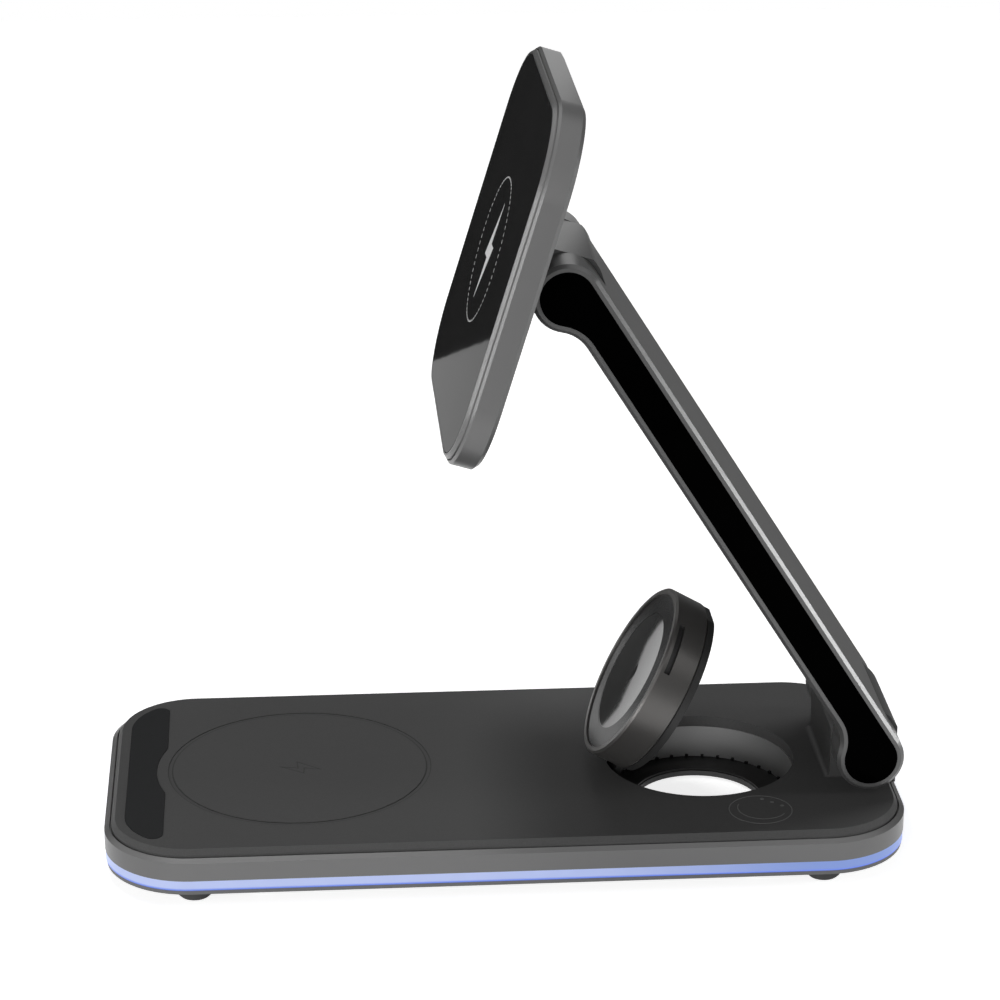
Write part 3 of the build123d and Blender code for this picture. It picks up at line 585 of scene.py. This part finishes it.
def ring_tree():
    """Blocks set round a circle and turned to follow it, where x is above a share of the radius."""
    tree = bpy.data.node_groups.new("block_ring", "GeometryNodeTree")
    sockets = {
        "Geometry": "NodeSocketGeometry",
        "Count": "NodeSocketInt",
        "Radius": "NodeSocketFloat",
        "Share": "NodeSocketFloat",
        "Block": "NodeSocketVector",
        "Finish": "NodeSocketMaterial",
    }
    for name, kind in sockets.items():
        tree.interface.new_socket(name=name, in_out="INPUT", socket_type=kind)
    tree.interface.new_socket(name="Geometry", in_out="OUTPUT", socket_type="NodeSocketGeometry")
    g = Graph(tree)
    values = [g.node("NodeGroupInput", output=name) for name in list(sockets)[1:]]
    count, radius, share, block, finish = values
    circle = g.node("GeometryNodeMeshCircle", inputs={"Vertices": count, "Radius": radius})
    cube = g.node("GeometryNodeMeshCube", inputs={"Size": block})
    place = g.node("GeometryNodeInputPosition")
    x = g.node("ShaderNodeSeparateXYZ", inputs={0: place}, output=0)
    y = g.node("ShaderNodeSeparateXYZ", inputs={0: place}, output=1)
    turn = g.node("ShaderNodeCombineXYZ", inputs={2: g.maths("ARCTAN2", y, x)})
    rotation = g.node("FunctionNodeEulerToRotation", inputs={0: turn})
    chosen = x > share * radius
    inputs = {"Points": circle, "Selection": chosen, "Instance": cube, "Rotation": rotation}
    instances = g.node("GeometryNodeInstanceOnPoints", inputs=inputs)
    solid = g.node("GeometryNodeRealizeInstances", inputs={0: instances})
    painted = g.node("GeometryNodeSetMaterial", inputs={"Geometry": solid, "Material": finish})
    g.node("NodeGroupOutput", inputs={0: painted})
    return tree


def ring_mesh(tree, name, count, radius, share, block, finish):
    """The tree's result as a plain mesh, drawn in millimetres."""
    holder = bpy.data.objects.new(name, bpy.data.meshes.new(name))
    bpy.context.scene.collection.objects.link(holder)
    modifier = holder.modifiers.new("block_ring", "NODES")
    modifier.node_group = tree
    values = {"Count": count, "Radius": radius, "Share": share, "Block": block, "Finish": finish}
    for item in tree.interface.items_tree:
        if item.in_out == "INPUT" and item.name in values:
            modifier[item.identifier] = values[item.name]
    bpy.context.view_layer.update()
    graph = bpy.context.evaluated_depsgraph_get()
    mesh = bpy.data.meshes.new_from_object(holder.evaluated_get(graph))
    holder.modifiers.remove(modifier)
    bpy.data.objects.remove(holder)
    return mesh


def glass_place():
    """Flat on the front glass: x across the head, y up it, z out of the glass."""
    middle, out = flat_front("front_glass")
    across = Vector((0, -1, 0))
    up = out.cross(across)
    turn = Matrix((across, up, out)).transposed().to_4x4()
    return Matrix.Translation(middle) @ turn


def flat_place(centre, height):
    return Matrix.Translation((centre.x, centre.y, height))


def add_marks():
    pad = flat_place(PAD_CENTRE, PLATE_TOP)
    key = flat_place(KEY_CENTRE, PLATE_TOP)
    glass = glass_place()
    put_marks("pad_bolt", draw_pad_bolt, pad, PAD_INK, "base")
    put_marks("key_marks", draw_key_marks, key, KEY_INK, "base")
    put_marks("head_bolt", draw_head_bolt, glass, HEAD_INK, "head")
    tree = ring_tree()
    dashes = ring_mesh(tree, "head_ring", HEAD_DASHES, HEAD_RING, WHOLE_RING, HEAD_DASH, HEAD_INK)
    put_piece("head_ring", dashes, glass, HEAD_INK, "head")
    notches = ring_mesh(tree, "well_notches", NOTCHES, NOTCH_RING, NOTCH_SHARE, NOTCH, NOTCH_BLACK)
    foot = flat_place(WELL_CENTRE, WELL_FOOT + NOTCH[2] / 2 * MM)
    put_piece("well_notches", notches, foot, NOTCH_BLACK, "base")


# Studio


def background_rays(graph):
    """1 for rays from the camera and for those that mirror or pass through, 0 for the rest."""
    seen = graph.node("ShaderNodeLightPath", output="Is Camera Ray")
    mirrored = graph.node("ShaderNodeLightPath", output="Is Glossy Ray")
    passed = graph.node("ShaderNodeLightPath", output="Is Transmission Ray")
    return graph.maths("MAXIMUM", graph.maths("MAXIMUM", seen, mirrored), passed)


def make_world():
    world = bpy.data.worlds.new("studio")
    world.use_nodes = True
    world.node_tree.nodes.clear()
    g = Graph(world.node_tree)
    inputs = {"Color": (1, 1, 1, 1), "Strength": 0.1 + 0.9 * background_rays(g)}
    background = g.node("ShaderNodeBackground", inputs=inputs)
    g.node("ShaderNodeOutputWorld", inputs={"Surface": background})
    bpy.context.scene.world = world


def make_floor():
    """Pale paper under the object, which shows its shadow."""
    f = Finish("floor")
    paper = f.noise(3.0, 2.0)
    paint = f.mix(paper, grey(0.78), grey(0.8))
    diffuse = f.node("ShaderNodeBsdfDiffuse", inputs={"Color": paint})
    inputs = {"Color": (1, 1, 1, 1), "Strength": 0.8 * background_rays(f)}
    glow = f.node("ShaderNodeEmission", inputs=inputs)
    shader = f.node("ShaderNodeAddShader", inputs={0: diffuse, 1: glow})
    mesh = bpy.data.meshes.new("floor")
    corners = ((-1, -1), (1, -1), (1, 1), (-1, 1))
    square = [(x * FLOOR_REACH, y * FLOOR_REACH, FLOOR_LEVEL) for x, y in corners]
    mesh.from_pydata(square, [], [(0, 1, 2, 3)])
    mesh.materials.append(f.finish(shader))
    floor = bpy.data.objects.new("floor", mesh)
    bpy.context.scene.collection.objects.link(floor)


def add_flag(name, places, low, high, tone):
    """Upright dark panel that only mirrored rays see; it follows places on the floor."""
    f = Finish(name)
    paper = f.mix(f.noise(20.0), grey(0.9 * tone), grey(1.1 * tone))
    shader = f.node("ShaderNodeEmission", inputs={"Color": paper, "Strength": 1.0})
    count = len(places)
    corners = [(x, y, z) for z in (low, high) for x, y in places]
    mesh = bpy.data.meshes.new(name)
    mesh.from_pydata(corners, [], [(i, i + 1, count + i + 1, count + i) for i in range(count - 1)])
    mesh.materials.append(f.finish(shader))
    flag = bpy.data.objects.new(name, mesh)
    flag.visible_camera = False
    flag.visible_diffuse = False
    flag.visible_shadow = False
    flag.visible_transmission = False
    bpy.context.scene.collection.objects.link(flag)


def add_lamp(name, place, size, power):
    light = bpy.data.lights.new(name, "AREA")
    light.shape = "DISK"
    light.size = size
    light.energy = power
    lamp = bpy.data.objects.new(name, light)
    lamp.location = place
    aim = LAMP_AIM - Vector(place)
    lamp.rotation_euler = aim.to_track_quat("-Z", "Y").to_euler()
    lamp.visible_camera = False
    bpy.context.scene.collection.objects.link(lamp)


def add_camera():
    data = bpy.data.cameras.new("camera")
    data.sensor_width = CAMERA_SENSOR
    data.lens = CAMERA_LENS
    data.clip_start = CAMERA_NEAR
    camera = bpy.data.objects.new("camera", data)
    camera.location = CAMERA_PLACE
    camera.rotation_euler = (math.pi / 2 - CAMERA_PITCH, 0, -CAMERA_YAW)
    bpy.context.scene.collection.objects.link(camera)
    bpy.context.scene.camera = camera


bpy.context.scene.view_settings.view_transform = "Standard"
add_camera()
dress_frame()
add_marks()
make_world()
make_floor()
for flag_name, flag in FLAGS.items():
    add_flag(flag_name, *flag)
for lamp_name, lamp in LAMPS.items():
    add_lamp(lamp_name, *lamp)
